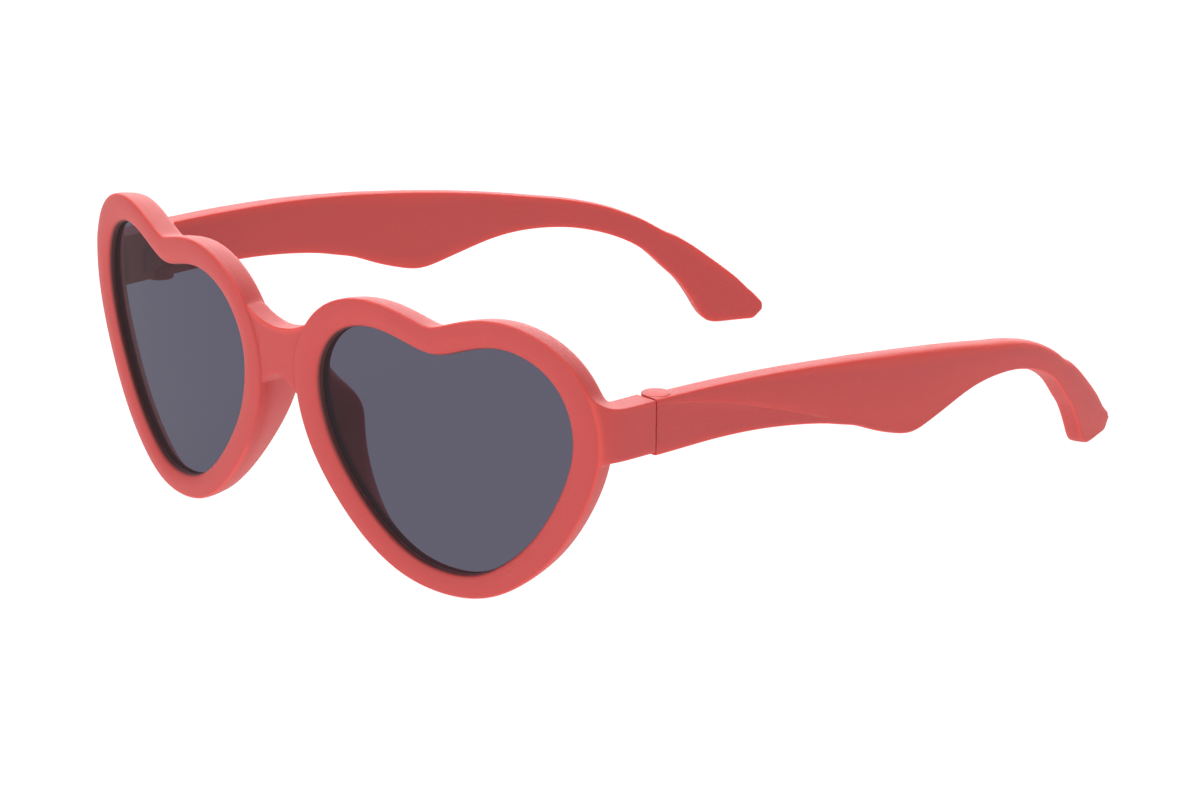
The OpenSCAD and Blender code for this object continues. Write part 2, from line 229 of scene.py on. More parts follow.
def padRise(height):
    if height > pads["peak"]:
        return 1 - eased(held((height - pads["peak"]) / (pads["top"] - pads["peak"])))
    return held((height - pads["foot"]) / (pads["peak"] - pads["foot"])) ** pads["power"]


def padShare(point):
    # a mean over heights near the point rounds the pad's growth
    if point.x > openingX + front["openingWide"] / 2:
        return 0.0
    return sum(padRise(point.y + step * pads["soft"]) for step in (-1, -0.5, 0, 0.5, 1)) / 5


def padSection(wide):
    outer, thick, reach = wide - pads["flare"], pads["thick"], pads["reach"]
    inner = pads["innerShare"]
    side = [(wide + pads["swell"] * a - pads["flare"] * b, reach * c) for a, b, c in pads["sideShares"]]
    end = [(outer - thick * a, reach - thick * b) for a, b in pads["endShares"]]
    return side + end + [((outer - thick) * inner, reach * inner)]


# Rim section from the lens over the face, down the outer wall and back to the groove, as rows of
# (distance out, depth). Loops 7 to 12 are the outer wall, which the bridge grows out of. The
# end piece takes one loop more.
rim = {
    "crown": 0.2, "draft": 0.6, "lipShare": 0.66,
    "lipRound": [(0.32, 0.3), (1.15, 0.04)],
    # distance in from the outer edge, and depth
    "faceRound": [(0.9, -0.12), (0.36, -0.04), (0.1, 0.1), (0, 0.36)],
    # shares of the draft and of the depth
    "wallShares": [(0.15, 0.3), (0.5, 0.58)],
    # distance in from the drafted wall, and up from the back
    "backRound": [(-0.06, 0.9), (0.3, 0.2), (0.7, 0), (1, 0)],
    # distance out, and depth behind the lens
    "backSlope": [(1.4, 0.75), (0, 0.3)],
    # painted shade on the wall in front of the lens, and painted highlight along the outer edge, loop by loop
    "paintedWallShades": [0.72, 0.95, 0.0], "paintedHighlights": [1.0, 0.2],
}
wallFirst, wallLast = 7, 12

# Fine parting line, which leaves the front edge at the cleft and sinks over the lobes
partLine = {"least": 0.35, "sink": 0.95, "run": 11, "none": 9.0}


def rimSection(wide, pad):
    deep, draft = front["deep"], rim["draft"]
    sink = lens["set"] - lens["gap"]
    behind = lens["set"] + lens["thick"] + lens["gap"]
    face = [(0, sink), (lens["gap"], sink * rim["lipShare"])] + rim["lipRound"] + [(wide / 2, -rim["crown"])]
    face += [(wide - a, b) for a, b in rim["faceRound"]]
    back = [(wide - draft * a, deep * b) for a, b in rim["wallShares"]]
    back += [(wide - draft - a, deep - b) for a, b in rim["backRound"]]
    back += [(a, behind + b) for a, b in rim["backSlope"]]
    back = [(between(a[0], b[0], pad), between(a[1], b[1], pad)) for a, b in zip(back, padSection(wide))]
    groove = [(0, behind), (lens["groove"], behind), (lens["groove"], sink)]
    return face + back + groove


sections = [rimSection(rimWide(out), padShare(point)) for point, out in zip(heartPoints, heartOuts)]


def partDepth(point):
    cleft = openingX + front["openingWide"] / 2
    return partLine["least"] + partLine["sink"] * eased(held(abs(point.x - cleft) / partLine["run"]))


def buildRim(bm, keys):
    # lofted flat, with the depth in z, and wrapped round the face once the bridge is on
    highlights = dict(enumerate(rim["paintedHighlights"], wallFirst))
    paintedShades = dict(enumerate(rim["paintedWallShades"]))

    def settle(v, loop):
        i = v[keys["station"]]
        out, deep = sections[i][loop]
        point = heartPoints[i] + heartOuts[i] * out
        besideNose = point.x < openingX and pads["foot"] < point.y < bridge["high"]
        v[keys["loop"]] = loop
        # painted highlight along the outer front edge, none beside the nose
        v[keys["edge"]] = 0.0 if besideNose else highlights.get(loop, 0.0)
        inWall = wallFirst <= loop <= wallLast
        v[keys["part"]] = deep - partDepth(heartPoints[i]) if inWall else partLine["none"]
        # painted shade on the wall in front of the lens
        v[keys["shade"]] = paintedShades.get(loop, 0.0)
        v.co = (point.x, point.y, deep)

    edges = startRing(bm, stations, keys["station"], lambda v: settle(v, 0))
    firstEdges = list(edges)
    sharp = list(edges)
    loops = len(sections[0])
    for loop in range(1, loops):
        edges = nextRing(bm, edges, lambda v: settle(v, loop))
        if loop >= loops - 3:
            sharp += edges
    bmesh.ops.bridge_loops(bm, edges=edges + firstEdges)
    creaseEdges(bm, sharp)
    print("rim lofted:", loops, "loops of", stations)


def wallFaces(bm, keys, limits, onSide, lastLoop, deepest=math.inf):
    # the outer wall's faces between two heights, on one side of the heart
    chosen = []
    for face in bm.faces:
        loops = [v[keys["loop"]] for v in face.verts]
        outer = [rimPoints[v[keys["station"]]] for v in face.verts]
        depth = min(sections[v[keys["station"]]][v[keys["loop"]]][1] for v in face.verts)
        inWall = min(loops) >= wallFirst and max(loops) <= lastLoop and depth < deepest
        if inWall and all(onSide(p.x) and limits[0] <= p.y <= limits[1] for p in outer):
            chosen.append(face)
    return chosen


def growRegion(bm, faces, target):
    made = bmesh.ops.extrude_face_region(bm, geom=faces)["geom"]
    for v in (g for g in made if isinstance(g, bmesh.types.BMVert)):
        v.co = target(v)
    bmesh.ops.delete(bm, geom=faces, context="FACES")
    return [g for g in made if isinstance(g, bmesh.types.BMFace)]


# Bridge: the nasal walls grow to the middle, with a fine crease beside the rim
bridge = {
    "top": 36.9, "rise": 2.3, "arch": 29.2, "fall": 3.4, "deep": 4.5, "backSweep": 2.2,
    "low": 25.9, "high": 40.2, "within": 6, "wallSpare": 1.1, "rootShare": 0.7,
    "frontPower": 16, "rearPower": 4, "footPower": 3,
    # share of the way to the middle, and how far the face lies back there
    "track": [(0.03, 0.3), (0.09, 0.12), (0.28, 0.12), (0.6, 0.12), (1, 0.12)],
}


def bridgeTop(x):
    rootX = front["rimGap"] / 2 + front["sideWide"] * bridge["rootShare"]
    return bridge["top"] + bridge["rise"] * (x / rootX) ** 2


def bridgeFoot(x):
    return bridge["arch"] - bridge["fall"] * min(1.0, 2 * x / front["rimGap"]) ** 2


def growBridge(bm, keys):
    faces = wallFaces(bm, keys, (bridge["low"], bridge["high"]), lambda x: x < openingX + bridge["within"],
                      wallLast, bridge["deep"] - bridge["wallSpare"])
    rooted = [rimPoints[v[keys["station"]]] for face in faces for v in face.verts]
    lowPoint = min(rooted, key=lambda p: p.y)
    highPoint = max(rooted, key=lambda p: p.y)

    def spot(v, share, recess):
        p = rimPoints[v[keys["station"]]]
        own = min(sections[v[keys["station"]]][v[keys["loop"]]][1], bridge["deep"])
        ownShare = own / bridge["deep"]
        left = 1 - share * between(1, bridge["backSweep"], (1 - share) * ownShare)
        power = between(bridge["frontPower"], bridge["rearPower"], ownShare)
        high, low = bridgeTop(highPoint.x * left), bridgeFoot(lowPoint.x * left)
        high += (highPoint.y - bridgeTop(highPoint.x)) * left ** power
        low += (lowPoint.y - bridgeFoot(lowPoint.x)) * left ** bridge["footPower"]
        # painted highlight along the bridge's top front edge
        v[keys["edge"]] = 1.0 if v[keys["loop"]] == wallFirst and p == highPoint else 0.0
        v[keys["part"]] = partLine["none"]
        return (p.x * left, between(low, high, (p.y - lowPoint.y) / (highPoint.y - lowPoint.y)), recess + own)

    for share, recess in bridge["track"]:
        faces = growRegion(bm, faces, lambda v: spot(v, share, recess))
    bmesh.ops.delete(bm, geom=faces, context="FACES")
    print("bridge grown")


# End piece: the wall at the temple grows round the corner and back to the seam
ends = {
    "high": 8.3, "middle": 31.0, "thick": 4.5, "low": 24.2, "top": 37.6, "within": 8,
    "straight": 5.0, "turnOut": 0.2, "filletPower": 2.6, "spreadPower": 0.5,
    # one entry below sets the painted highlight along the end piece's front edges
    "paintedHighlight": 0.3, "faceCrease": 0.9, "faceRim": 0.6, "faceRise": 0.2,
    # places across the thickness, as shares of its half, for each loop of the wall
    "acrossShares": [1, 0.82, 0.35, -0.1, -0.45, -0.8, -1],
    # how far round the corner, then how far along the straight part
    "track": [(0.22, 0), (0.48, 0), (0.75, 0), (1, 0), (1, 0.5), (1, 0.9), (1, 1)],
}


def growEndPiece(bm, keys):
    faces = wallFaces(bm, keys, (ends["low"], ends["top"]), lambda x: x > halfWide - ends["within"],
                      wallLast + 1)
    verts = {v for face in faces for v in face.verts}
    rows = sorted({v[keys["station"]] for v in verts}, key=lambda i: heartPoints[i].y)
    heights = {i: 2 * k / (len(rows) - 1) - 1 for k, i in enumerate(rows)}
    starts = {(v[keys["station"]], v[keys["loop"]]): (v.co.x / mm, v.co.y / mm - shiftY, v.co.z / mm)
              for v in verts}
    half = ends["thick"] / 2
    slope = math.tan(wrapTurn(halfWide))

    def spot(v, corner, back):
        i, loop = v[keys["station"]], v[keys["loop"]]
        x, y, z = starts[i, loop]
        left = 1 - corner
        endX = templeX - half + ends["acrossShares"][loop - wallFirst] * half
        turnY = y + slope * max(0.0, endX - x) + ends["turnOut"]
        backY = between(endY - ends["straight"], endY, back)
        up = math.copysign(abs(heights[i]) ** ends["spreadPower"], heights[i])
        endZ = ends["middle"] + up * ends["high"] / 2
        # painted highlight along the top and foot front edges
        v[keys["edge"]] = ends["paintedHighlight"] if loop == wallFirst and i in (rows[0], rows[-1]) else 0.0
        v[keys["part"]] = partLine["none"]
        return place(left ** 2 * x + (1 - left ** 2) * endX,
                     left ** 2 * y + 2 * corner * left * turnY + corner ** 2 * backY,
                     between(z, endZ, 1 - left ** ends["filletPower"]))

    for corner, back in ends["track"]:
        faces = growRegion(bm, faces, lambda v: spot(v, corner, back))
    creaseEdges(bm, {e for face in faces for e in face.edges
                     if sum(near in faces for near in e.link_faces) == 1}, ends["faceCrease"])
    bmesh.ops.inset_region(bm, faces=faces, thickness=ends["faceRim"] * mm, depth=ends["faceRise"] * mm)
    print("end piece grown")


def addLug(bm, keys):
    # round lug with the pin's bore, and the neck that joins it to the end piece
    low, high = hingeZ - hinge["lugHigh"] / 2, hingeZ + hinge["lugHigh"] / 2
    bore = hinge["pin"] + hinge["play"]
    profile = [bm.verts.new(place(hingeX + r, hingeY, z))
               for r, z in ((bore, low), (hinge["lug"], low), (hinge["lug"], high), (bore, high))]
    ring = [bm.edges.new((profile[i], profile[(i + 1) % 4])) for i in range(4)]
    bmesh.ops.spin(bm, geom=profile + ring, cent=place(hingeX, hingeY, 0), axis=(0, 0, 1),
                   angle=2 * math.pi, steps=hinge["steps"], use_merge=True)
    neck = bmesh.ops.create_cube(bm, size=1)["verts"]
    neckFront, neckBack = endY - ends["thick"] / 2, hingeY - bore - hinge["neckSpare"]
    neckHigh = hinge["lugHigh"] * hinge["neckShare"]  # just inside the lug
    size = Vector((2 * hinge["lug"] * mm, (neckBack - neckFront) * mm, neckHigh * mm))
    bmesh.ops.scale(bm, vec=size, verts=neck)
    bmesh.ops.translate(bm, vec=place(hingeX, (neckFront + neckBack) / 2, hingeZ), verts=neck)
    bmesh.ops.remove_doubles(bm, verts=bm.verts, dist=hinge["mergeWithin"] * mm)
    behindSeam = place(0, endY + hinge["seamSpare"], 0).y
    lugVerts = [v for v in bm.verts if v.co.y > behindSeam or v in neck]
    creaseEdges(bm, {e for v in lugVerts for e in v.link_edges
                     if len(e.link_faces) == 2 and e.calc_face_angle(0) > hinge["sharpTurn"]})
    for v in lugVerts:
        v[keys["part"]] = partLine["none"]


def buildFront():
    bm = bmesh.new()
    # the edge layer holds a painted highlight and the shade layer a painted shade
    keys = {"station": bm.verts.layers.int.new("station"), "loop": bm.verts.layers.int.new("sectionLoop"),
            "part": bm.verts.layers.float.new("partGap"), "edge": bm.verts.layers.float.new("edgeShare"),
            "shade": bm.verts.layers.float.new("paintedWallShade")}
    bm.edges.layers.float.new("crease_edge")
    buildRim(bm, keys)
    growBridge(bm, keys)
    for v in bm.verts:
        v.co = onFront(*v.co)
    growEndPiece(bm, keys)
    addLug(bm, keys)
    bmesh.ops.recalc_face_normals(bm, faces=bm.faces)
    piece = addPiece(bm, "frontMoulding")
    piece.data.shade_smooth()
    mirror = piece.modifiers.new("otherHalf", "MIRROR")
    mirror.use_axis = (True, False, False)
    mirror.use_clip = True
    mirror.merge_threshold = 0.01 * mm  # the bridge meets its mirror image in the middle
    addSmoothing(piece)
    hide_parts("front_frame")
    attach(piece, "front")
    print("front moulding made")
    return piece


# Temples: each table has rows of (share of the length, share of the size)
templeForm = {
    "topShares": [(0, 1.03), (0.14, 1.014), (0.28, 0.979), (0.45, 0.905), (0.62, 0.8),
                  (0.77, 0.668), (0.88, 0.46), (0.94, 0.295), (0.975, 0.18), (1, 0.08)],
    "footShares": [(0, 1), (0.12, 0.993), (0.2, 0.968), (0.29, 0.905), (0.36, 0.818), (0.42, 0.714),
                   (0.475, 0.658), (0.53, 0.707), (0.6, 0.776), (0.66, 0.789), (0.73, 0.745),
                   (0.8, 0.624), (0.85, 0.452), (0.89, 0.232), (0.914, 0.045), (0.935, 0),
                   (0.985, 0), (1, 0.06)],
    "ridgeShares": [(0, 0.04), (0.1, 0.27), (0.19, 0.61), (0.25, 0.79), (0.31, 0.95), (0.36, 1), (1, 1)],
    "bowStart": 26, "bow": 228,
    "edge": 0.4, "edgeShare": 0.25, "round": 0.29,
    "topEdge": 1.25, "topEdgeShare": 0.3, "topEdgeFrom": 0.12, "topEdgeRun": 0.35,
    "panelStep": 0.34, "panelRun": 0.12, "panelPower": 6, "ridgeSpare": 1.4, "ridgeFall": 0.12,
    "ridgeCorners": (3, 4), "ridgeCrease": 0.85, "ridgeFade": 3, "rootCrease": 0.9,
    "tipRim": 0.45, "tipRise": 0.2, "rootStep": 0.004, "passes": 6, "sharpAngle": 38,
    # where each stretch of the length ends, and how many sections it has
    "stretches": [(0.36, 14), (0.66, 8), (0.86, 7), (0.98, 9), (1, 3)],
    # how strong the painted highlight is along the edge at each corner of the section
    "paintedHighlights": {1: 1.0, 3: 0.3, 6: 1.0, 9: 1.0, 12: 1.0},
}
rootTop = temple["top"] * templeForm["topShares"][0][1]


def tableAt(table, at):
    # smooth curve through (place, value) rows
    i = 0
    while i < len(table) - 2 and at >= table[i + 1][0]:
        i += 1

    def slope(k):
        a, b = table[max(k - 1, 0)], table[min(k + 1, len(table) - 1)]
        return (b[1] - a[1]) / (b[0] - a[0])

    run = table[i + 1][0] - table[i][0]
    u = (at - table[i][0]) / run
    return (table[i][1] * (2 * u ** 3 - 3 * u * u + 1) + slope(i) * run * (u ** 3 - 2 * u * u + u)
            + table[i + 1][1] * (3 * u * u - 2 * u ** 3) + slope(i + 1) * run * (u ** 3 - u * u))


def templeSection(s):
    # 14 corners of (distance out, height), from the top's outer edge down the outer side and back up
    t = templeForm
    top = tableAt(t["topShares"], s) * temple["top"]
    foot = max(0.0, tableAt(t["footShares"], s)) * templeFoot
    high = top - foot
    half = between(temple["thick"], temple["tipThick"], s) / 2
    edge = min(t["edge"], high * t["edgeShare"])
    nick = t["round"] * edge
    topGrowth = eased(held((s - t["topEdgeFrom"]) / t["topEdgeRun"]))
    topEdge = min(between(t["edge"], t["topEdge"], topGrowth), high * t["topEdgeShare"])
    topNick = t["round"] * topEdge
    drop = held(tableAt(t["ridgeShares"], s))
    step = t["panelStep"] * eased(held(s / t["panelRun"])) * (1 - drop ** t["panelPower"])
    ridge = top - topEdge - (high - topEdge - t["ridgeSpare"] * edge) * drop
    return [(half - topEdge, top), (half - topNick, top - topNick), (half, top - topEdge), (half, ridge),
            (half - step, ridge - t["ridgeFall"]), (half - step, foot + edge),
            (half - step - nick, foot + nick), (half - step - edge, foot),
            (edge - half, foot), (nick - half, foot + nick), (-half, foot + edge),
            (-half, top - edge), (nick - half, top - nick), (edge - half, top)]


def templeSpot(s, corner):
    out, up = corner
    along = s * temple["long"]
    turn = math.asin(max(0.0, along - templeForm["bowStart"]) / templeForm["bow"])
    half = between(temple["thick"], temple["tipThick"], s) / 2
    lineX = templeX - half - templeForm["bow"] * (1 - math.cos(turn))
    return place(lineX + out * math.cos(turn), seamY + along + out * math.sin(turn), up)


def templeRows():
    # rows of points, with their heights pushed out so that the smoothed form meets the outline
    places, start = [0.0, templeForm["rootStep"]], 0.0
    for stop, count in templeForm["stretches"]:
        places += [between(start, stop, (k + 1) / count) for k in range(count)]
        start = stop
    rows = [[templeSpot(s, corner) for corner in templeSection(s)] for s in places]
    aims = [[spot.z for spot in row] for row in rows]
    for _ in range(templeForm["passes"]):
        now = [[spot.z for spot in row] for row in rows]
        for n in range(2, len(rows) - 1):
            for k, spot in enumerate(rows[n]):
                spot.z += aims[n][k] - (now[n - 1][k] + 4 * now[n][k] + now[n + 1][k]) / 6
    return rows


def buildTemple(side):
    name = "leftTempleArm" if side > 0 else "rightTempleArm"
    bm = bmesh.new()
    cornerKey = bm.verts.layers.int.new("sectionCorner")
    highlightKey = bm.verts.layers.float.new("edgeShare")
    bm.edges.layers.float.new("crease_edge")
    rows = templeRows()

    def settle(v, row):
        # painted highlight along the temple's edges
        v[highlightKey] = templeForm["paintedHighlights"].get(v[cornerKey], 0.0)
        v.co = row[v[cornerKey]]

    rootEdges = startRing(bm, len(rows[0]), cornerKey, lambda v: settle(v, rows[0]))
    edges = rootEdges
    for row in rows[1:]:
        edges = nextRing(bm, edges, lambda v: settle(v, row))
    bmesh.ops.edgeloop_fill(bm, edges=rootEdges)
    tip = bmesh.ops.edgeloop_fill(bm, edges=edges)["faces"]
    bmesh.ops.inset_region(bm, faces=tip, thickness=templeForm["tipRim"] * mm,
                           depth=templeForm["tipRise"] * mm)
    creaseEdges(bm, rootEdges, templeForm["rootCrease"])
    for edge in bm.edges:
        a, b = edge.verts
        if a[cornerKey] == b[cornerKey] and a[cornerKey] in templeForm["ridgeCorners"]:
            s = held((min(a.co.y, b.co.y) / mm - shiftY - seamY) / temple["long"])
            fade = held(templeForm["ridgeFade"] * (1 - tableAt(templeForm["ridgeShares"], s)))
            creaseEdges(bm, [edge], templeForm["ridgeCrease"] * fade)
    bmesh.ops.recalc_face_normals(bm, faces=bm.faces)
    arm = addPiece(bm, name)
    addSmoothing(arm)
    applyModifiers(arm)

    for tool, way in ((reliefTool(), "DIFFERENCE"), (knuckleTool(), "UNION"),
                      (slotTool(), "DIFFERENCE"), (pinTool(), "DIFFERENCE")):
        joinTool(arm, tool, way)
    if side < 0:
        bm = bmesh.new()
        bm.from_mesh(arm.data)
        bmesh.ops.scale(bm, vec=(-1, 1, 1), verts=bm.verts)
        bmesh.ops.recalc_face_normals(bm, faces=bm.faces)
        bm.to_mesh(arm.data)
        bm.free()
    arm.data.shade_smooth()
    arm.data.set_sharp_from_angle(angle=math.radians(templeForm["sharpAngle"]))
    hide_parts("left_temple" if side > 0 else "right_temple")
    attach(arm, "left_arm" if side > 0 else "right_arm")
    print(name, "made with", len(arm.data.polygons), "faces")
    return arm


# Tools that cut the knuckle hinge into a temple
def joinTool(piece, tool, way):
    mix = piece.modifiers.new("hingeCut", "BOOLEAN")
    mix.operation = way
    mix.solver = "EXACT"
    mix.object = tool
    applyModifiers(piece)
    bpy.data.objects.remove(tool)


def addTool(bm, name):
    bmesh.ops.recalc_face_normals(bm, faces=bm.faces)
    return addPiece(bm, name)


def addDrum(bm, radius, low, high):
    made = bmesh.ops.create_cone(bm, cap_ends=True, segments=hinge["steps"], radius1=radius * mm,
                                 radius2=radius * mm, depth=(high - low) * mm)["verts"]
    bmesh.ops.translate(bm, vec=place(hingeX, hingeY, (low + high) / 2), verts=made)
    return made


def addBlock(bm, lowCorner, highCorner):
    made = bmesh.ops.create_cube(bm, size=1)["verts"]
    low, high = place(*lowCorner), place(*highCorner)
    bmesh.ops.scale(bm, vec=high - low, verts=made)
    bmesh.ops.translate(bm, vec=(high + low) / 2, verts=made)


def reliefTool():
    # the inner front corner gives way to the round knuckle, to turn clear of the end piece
    over = hinge["overrun"]
    reach = hinge["knuckle"] + over
    bm = bmesh.new()
    addBlock(bm, (hingeX - reach, hingeY - reach, templeFoot - over), (hingeX, hingeY, rootTop + over))
    return addTool(bm, "reliefTool")


def knuckleTool():
    bm = bmesh.new()
    drum = addDrum(bm, hinge["knuckle"], templeFoot - hinge["proudFoot"], rootTop + hinge["proudTop"])
    rims = {e for v in drum for e in v.link_edges if any(len(f.verts) > 4 for f in e.link_faces)}
    bmesh.ops.bevel(bm, geom=list(rims), offset=hinge["knuckleRound"] * mm, offset_type="OFFSET",
                    affect="EDGES", segments=3, profile=0.5, material=-1)
    return addTool(bm, "knuckleTool")


def slotTool():
    # round room for the lug, open to the front and the inner side
    room, reach = hinge["lug"] + hinge["gap"], hinge["knuckle"] + hinge["overrun"]
    highHalf = hinge["lugHigh"] / 2 + hinge["gap"]
    low, high = hingeZ - highHalf, hingeZ + highHalf
    bm = bmesh.new()
    addDrum(bm, room, low, high)
    slot = addTool(bm, "slotTool")
    for farX, farY in ((room, 0), (0, room)):
        bm = bmesh.new()
        addBlock(bm, (hingeX - reach, hingeY - reach, low), (hingeX + farX, hingeY + farY, high))
        joinTool(slot, addTool(bm, "slotBlock"), "UNION")
    return slot


def pinTool():
    bm = bmesh.new()
    addDrum(bm, hinge["pin"] + hinge["pinSeat"], templeFoot - hinge["overrun"], temple["top"] - hinge["cap"])
    return addTool(bm, "pinTool")


# Lenses: rings shrink from the groove to a point near the middle, and the sheet gets its thickness
plate = {"ringShares": [0.9, 0.75, 0.58, 0.4, 0.22], "middleShare": 0.55, "sharpAngle": 40}


def buildLens(side):
    middle = Vector((openingX + front["openingWide"] / 2,
                     front["footWide"] + front["openingHigh"] * plate["middleShare"]))
    bm = bmesh.new()
    stationKey = bm.verts.layers.int.new("station")

    def settle(v, share):
        i = v[stationKey]
        edge = heartPoints[i] + heartOuts[i] * (lens["groove"] - lens["gap"])
        point = middle + (edge - middle) * share
        v.co = onFront(point.x, point.y, lens["set"])

    edges = startRing(bm, stations, stationKey, lambda v: settle(v, 1))
    for share in plate["ringShares"]:
        edges = nextRing(bm, edges, lambda v: settle(v, share))
    centre = bm.verts.new(onFront(middle.x, middle.y, lens["set"]))
    for edge in edges:
        bm.faces.new((*edge.verts, centre))
    bmesh.ops.recalc_face_normals(bm, faces=bm.faces)
    if sum(face.normal.y for face in bm.faces) > 0:
        bmesh.ops.reverse_faces(bm, faces=bm.faces)
    bmesh.ops.solidify(bm, geom=bm.faces, thickness=lens["thick"] * mm)
    if side < 0:
        bmesh.ops.scale(bm, vec=(-1, 1, 1), verts=bm.verts)
    bmesh.ops.recalc_face_normals(bm, faces=bm.faces)
    piece = addPiece(bm, "leftLensPlate" if side > 0 else "rightLensPlate")
    piece.data.shade_smooth()
    piece.data.set_sharp_from_angle(angle=math.radians(plate["sharpAngle"]))
    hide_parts("left_lens" if side > 0 else "right_lens")
    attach(piece, "front")
    return piece


# Materials
def newGroup(name, inputs, outputs):
    group = bpy.data.node_groups.new(name, "ShaderNodeTree")
    for label, kind in inputs:
        group.interface.new_socket(name=label, in_out="INPUT", socket_type=kind)
    for label, kind in outputs:
        group.interface.new_socket(name=label, in_out="OUTPUT", socket_type=kind)
    entry, leave = group.nodes.new("NodeGroupInput"), group.nodes.new("NodeGroupOutput")
    return group, entry.outputs, leave.inputs


def mathNode(tree, operation, *values):
    # a Math node whose inputs are sockets to link or plain numbers
    node = tree.nodes.new("ShaderNodeMath")
    node.operation = operation
    for socket, value in zip(node.inputs, values):
        if isinstance(value, bpy.types.NodeSocket):
            tree.links.new(value, socket)
        else:
            socket.default_value = value
    return node.outputs[0]


def noiseNode(tree, detail):
    where = tree.nodes.new("ShaderNodeTexCoord")
    noise = tree.nodes.new("ShaderNodeTexNoise")
    noise.inputs["Detail"].default_value = detail
    tree.links.new(where.outputs["Object"], noise.inputs["Vector"])
    return noise


def makeSurfaceGrain():
    # fine moulded grain as a normal, and a slow cloud that also varies the roughness
    group, entry, leave = newGroup("surfaceGrain", [
        ("Grain Size", "NodeSocketFloat"), ("Grain Depth", "NodeSocketFloat"),
        ("Roughness", "NodeSocketFloat"), ("Roughness Spread", "NodeSocketFloat")],
        [("Normal", "NodeSocketVector"), ("Roughness", "NodeSocketFloat"), ("Cloud", "NodeSocketFloat")])
    grain = noiseNode(group, 3)
    grain.inputs["Roughness"].default_value = 0.6
    group.links.new(entry["Grain Size"], grain.inputs["Scale"])
    bump = group.nodes.new("ShaderNodeBump")
    bump.inputs["Distance"].default_value = 0.00015
    group.links.new(entry["Grain Depth"], bump.inputs["Strength"])
    group.links.new(grain.outputs["Fac"], bump.inputs["Height"])
    cloud = noiseNode(group, 3)
    cloud.inputs["Scale"].default_value = 90
    centred = mathNode(group, "SUBTRACT", cloud.outputs["Fac"], 0.5)
    rough = mathNode(group, "MULTIPLY_ADD", centred, entry["Roughness Spread"], entry["Roughness"])
    group.links.new(bump.outputs["Normal"], leave["Normal"])
    group.links.new(rough, leave["Roughness"])
    group.links.new(cloud.outputs["Fac"], leave["Cloud"])
    return group


def makeMouldTint():
    # colour of the moulding: a painted highlight at thin edges, slightly clouded, darker in the parting
    # line, and a painted shade in the wall in front of a lens
    group, entry, leave = newGroup("mouldTint", [
        ("Colour", "NodeSocketColor"), ("Painted Highlight Colour", "NodeSocketColor"), ("Painted Highlight", "NodeSocketFloat"),
        ("Cloud", "NodeSocketFloat"), ("Clouding", "NodeSocketFloat"),
        ("Line", "NodeSocketFloat"), ("Painted Shade", "NodeSocketFloat")],
        [("Colour", "NodeSocketColor")])
    # painted highlight: the colour moves towards the edge colour
    highlighted = group.nodes.new("ShaderNodeMix")
    highlighted.data_type = "RGBA"
    group.links.new(entry["Painted Highlight"], highlighted.inputs["Factor"])
    group.links.new(entry["Colour"], highlighted.inputs[6])  # A and B of a colour mix
    group.links.new(entry["Painted Highlight Colour"], highlighted.inputs[7])
    centred = mathNode(group, "SUBTRACT", entry["Cloud"], 0.5)
    clouded = mathNode(group, "MULTIPLY_ADD", centred, entry["Clouding"], 1)
    lined = mathNode(group, "MULTIPLY_ADD", entry["Line"], -0.35, 1)  # a full line darkens by 35%
    # painted shade in the wall in front of a lens
    unshaded = mathNode(group, "SUBTRACT", 1, entry["Painted Shade"])
    level = mathNode(group, "MULTIPLY", mathNode(group, "MULTIPLY", clouded, lined), unshaded)
    tinted = group.nodes.new("ShaderNodeVectorMath")
    tinted.operation = "SCALE"
    group.links.new(highlighted.outputs[2], tinted.inputs[0])
    group.links.new(level, tinted.inputs["Scale"])
    group.links.new(tinted.outputs[0], leave["Colour"])
    return group


surfaceGrain = makeSurfaceGrain()
mouldTint = makeMouldTint()

coral = {
    # the edge colour is a painted highlight for thin edges
    "colour": (0.6, 0.035, 0.031), "paintedHighlightColour": (0.78, 0.055, 0.038), "clouding": 0.06, "partLine": 0.45,
    "grainSize": 3000, "grainDepth": 0.6, "roughness": 0.62, "roughnessSpread": 0.06,
    "glow": 0.5, "glowReach": (1.0, 0.25, 0.15), "glowScale": 0.0012, "gloss": 0.95, "sheen": 0.05,
}
armCoral = dict(coral, colour=(0.585, 0.047, 0.043), partLine=0.0, gloss=0.75, sheen=0.02)
# the last two lens entries are a faint emission: a painted veil of reflected light
smoke = {"tint": (0.085, 0.084, 0.119), "ior": 1.05, "paintedVeil": 0.021, "paintedVeilColour": (1.0, 0.8, 0.85)}
steel = {"colour": (0.6, 0.6, 0.62), "grainSize": 9000, "grainDepth": 0.05, "roughness": 0.28,
         "roughnessSpread": 0.06}


def newMaterial(name):
    material = bpy.data.materials.new(name)
    material.use_nodes = True
    return material, material.node_tree, material.node_tree.nodes["Principled BSDF"].inputs


def placeGroup(tree, group, values):
    node = tree.nodes.new("ShaderNodeGroup")
    node.node_tree = group
    for label, value in values.items():
        node.inputs[label].default_value = value
    return node


def attributeValue(tree, name):
    node = tree.nodes.new("ShaderNodeAttribute")
    node.attribute_name = name
    return node.outputs["Fac"]


def grainNode(tree, look, shader):
    grain = placeGroup(tree, surfaceGrain, {
        "Grain Size": look["grainSize"], "Grain Depth": look["grainDepth"],
        "Roughness": look["roughness"], "Roughness Spread": look["roughnessSpread"]})
    tree.links.new(grain.outputs["Roughness"], shader["Roughness"])
    tree.links.new(grain.outputs["Normal"], shader["Normal"])
    return grain


